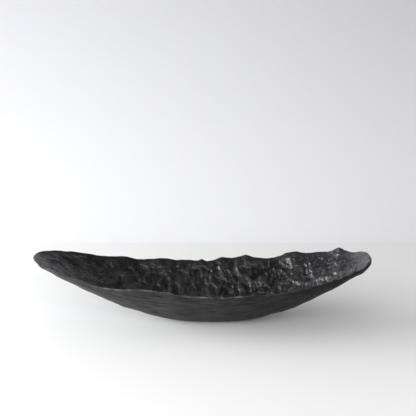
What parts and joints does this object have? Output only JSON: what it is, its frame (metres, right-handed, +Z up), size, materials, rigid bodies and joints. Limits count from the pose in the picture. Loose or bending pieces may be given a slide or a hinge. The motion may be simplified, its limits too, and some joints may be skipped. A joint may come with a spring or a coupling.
{
  "type": "boat-shaped bowl",
  "caption": "Long boat-shaped table bowl: a thin one-piece shell with a crumpled inside, a smooth outside, a thin wavy rim, upswept blunt ends and a small flat base.",
  "frame": {"origin": "on the table, under the middle of the bowl's bounding box", "axes": "+X along the bowl towards its wider end, +Y from the front side to the back side, +Z up"},
  "size_m": [0.5402, 0.202, 0.103],
  "materials": {
    "black_lacquer": "satin"
  },
  "bodies": {
    "root": {"bowl": "black_lacquer"}
  },
  "joints": []
}
